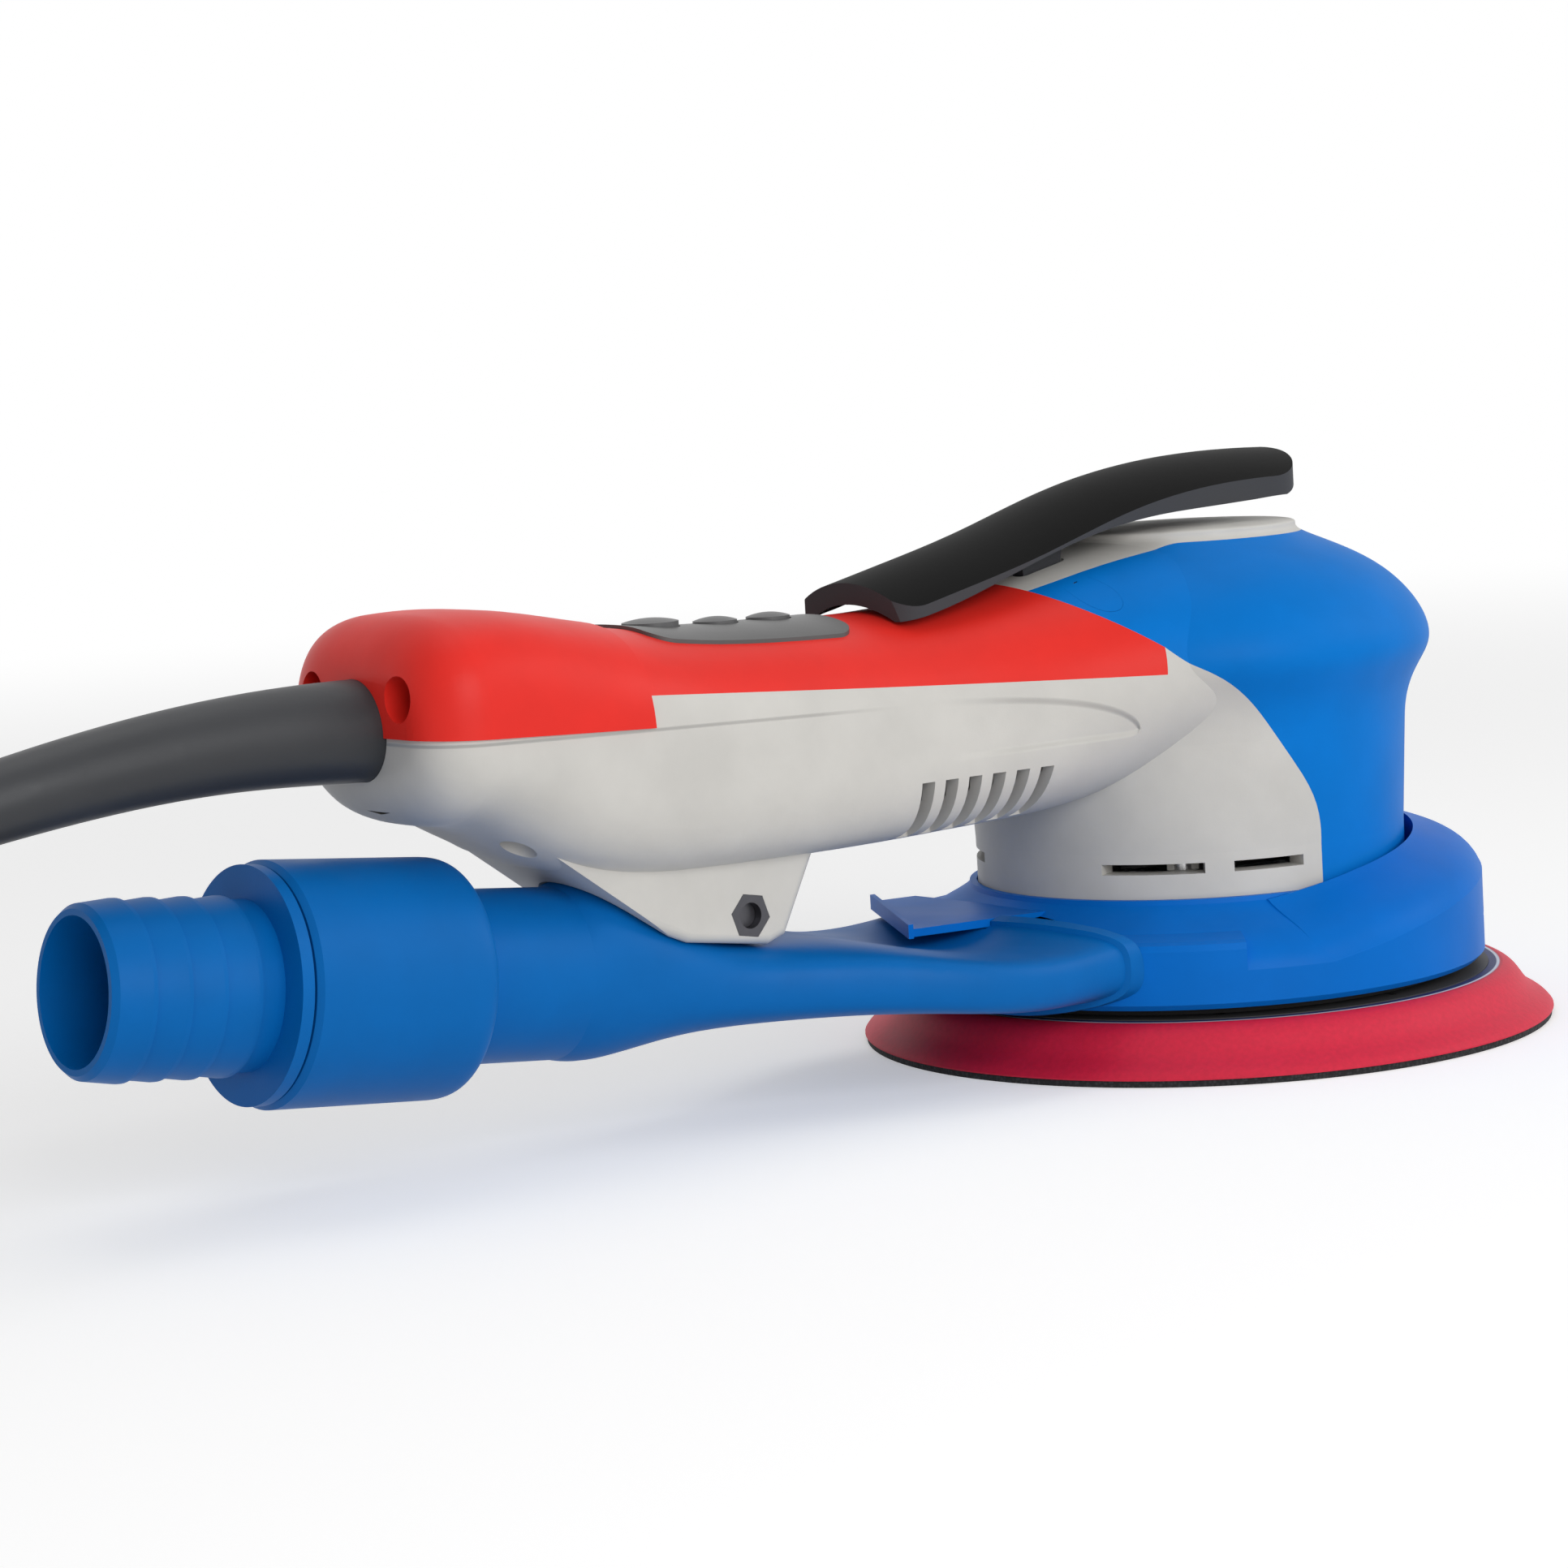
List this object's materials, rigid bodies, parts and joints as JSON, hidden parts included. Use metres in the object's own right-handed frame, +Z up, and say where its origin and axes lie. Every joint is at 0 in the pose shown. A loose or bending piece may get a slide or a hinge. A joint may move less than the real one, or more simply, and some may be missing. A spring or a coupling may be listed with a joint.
{
  "type": "orbital sander",
  "caption": "Corded random orbital sander with a round perforated pad, paddle lever, dust duct and swivelling hose spigot.",
  "frame": {"origin": "motor axis in the plane of the sanding face", "axes": "+X to the front, away from the handle; +Y to the tool's left; +Z up the motor axis"},
  "size_m": [0.59, 0.2095, 0.1244],
  "materials": {
    "housing_grey": "satin, fine texture",
    "cover_red": "satin",
    "grip_blue": "satin soft grip",
    "shroud_blue": "satin",
    "duct_blue": "satin",
    "lever_black": "satin",
    "keypad_charcoal": "satin",
    "button_grey": "satin",
    "pad_red": "matt foam",
    "hook_black": "hook pile",
    "plate_dark": "matt",
    "inner_plastic": "matt",
    "steel": "bright",
    "dark_steel": "black oxide",
    "alu": "die cast",
    "copper": "enamelled wire",
    "magnet": "plated",
    "board_green": "solder mask",
    "cord_black": "satin",
    "seal_black": "matt",
    "brass": "bright"
  },
  "bodies": {
    "body": {"main_housing": "housing_grey", "handle_cover": "cover_red", "head_grip": "grip_blue", "pin_plugs": "grip_blue", "keypad": "keypad_charcoal", "stator": "steel", "windings": "copper", "tail_bearing": "steel", "bearing_damper": "seal_black", "bearing_plate": "alu", "main_bearing": "steel", "plate_screws": "steel", "dust_shroud": "shroud_blue", "brake_seal": "seal_black", "exhaust_duct": "duct_blue", "duct_bolt": "dark_steel", "duct_nut": "dark_steel", "swivel_collar": "duct_blue", "lever_pin": "steel", "switch_board": "board_green", "tactile_switches": "inner_plastic", "keypad_cable": "inner_plastic", "control_board": "board_green", "board_screws": "steel", "heat_sink": "alu", "capacitors": "inner_plastic", "terminal_block": "inner_plastic", "motor_leads": "cord_black", "lever_sensor": "board_green", "cover_screws": "dark_steel", "floor_screws": "dark_steel", "cord_strain_relief": "cord_black", "mains_leads": "cord_black", "cord_coil": "cord_black", "power_cord": "cord_black", "plug_body": "cord_black", "plug_pins": "brass"},
    "lever": {"paddle_lever": "lever_black", "lever_magnet": "magnet", "lever_spring": "steel"},
    "power_button": {"power_button": "button_grey"},
    "speed_down_button": {"speed_down_button": "button_grey"},
    "speed_up_button": {"speed_up_button": "button_grey"},
    "rotor": {"eccentric": "alu", "pad_bearings": "steel", "motor_shaft": "steel", "cooling_fan": "inner_plastic", "rotor_core": "steel", "rotor_magnet": "magnet"},
    "pad": {"pad_foam": "pad_red", "hook_face": "hook_black", "pad_plate": "plate_dark", "pad_stud": "steel", "pad_spindle": "steel"},
    "hose_swivel": {"hose_adaptor": "duct_blue", "swivel_seal": "seal_black"}
  },
  "joints": [
    {"name": "lever_press", "type": "hinge", "parent": "body", "child": "lever", "pos_m": [-0.045, 0, 0.0986], "axis": [0, 1, 0], "range_deg": [0, 4.5], "stiffness_Nm_per_rad": 1.5, "springref_deg": -8.59},
    {"name": "power_button_press", "type": "slide", "parent": "body", "child": "power_button", "axis": [0, 0, -1], "range_m": [0, 0.0006], "stiffness_N_per_m": 1500, "springref_m": -0.0004},
    {"name": "speed_down_button_press", "type": "slide", "parent": "body", "child": "speed_down_button", "axis": [0, 0, -1], "range_m": [0, 0.0006], "stiffness_N_per_m": 1500, "springref_m": -0.0004},
    {"name": "speed_up_button_press", "type": "slide", "parent": "body", "child": "speed_up_button", "axis": [0, 0, -1], "range_m": [0, 0.0006], "stiffness_N_per_m": 1500, "springref_m": -0.0004},
    {"name": "motor_spin", "type": "hinge", "parent": "body", "child": "rotor", "pos_m": [0, 0, 0.06], "axis": [0, 0, 1], "continuous": true},
    {"name": "pad_spin", "type": "hinge", "parent": "rotor", "child": "pad", "pos_m": [0.0025, 0, 0.02], "axis": [0, 0, 1], "continuous": true},
    {"name": "hose_turn", "type": "hinge", "parent": "body", "child": "hose_swivel", "pos_m": [-0.267, 0, 0.0466], "axis": [0.9937, 0, -0.1122], "continuous": true}
  ]
}
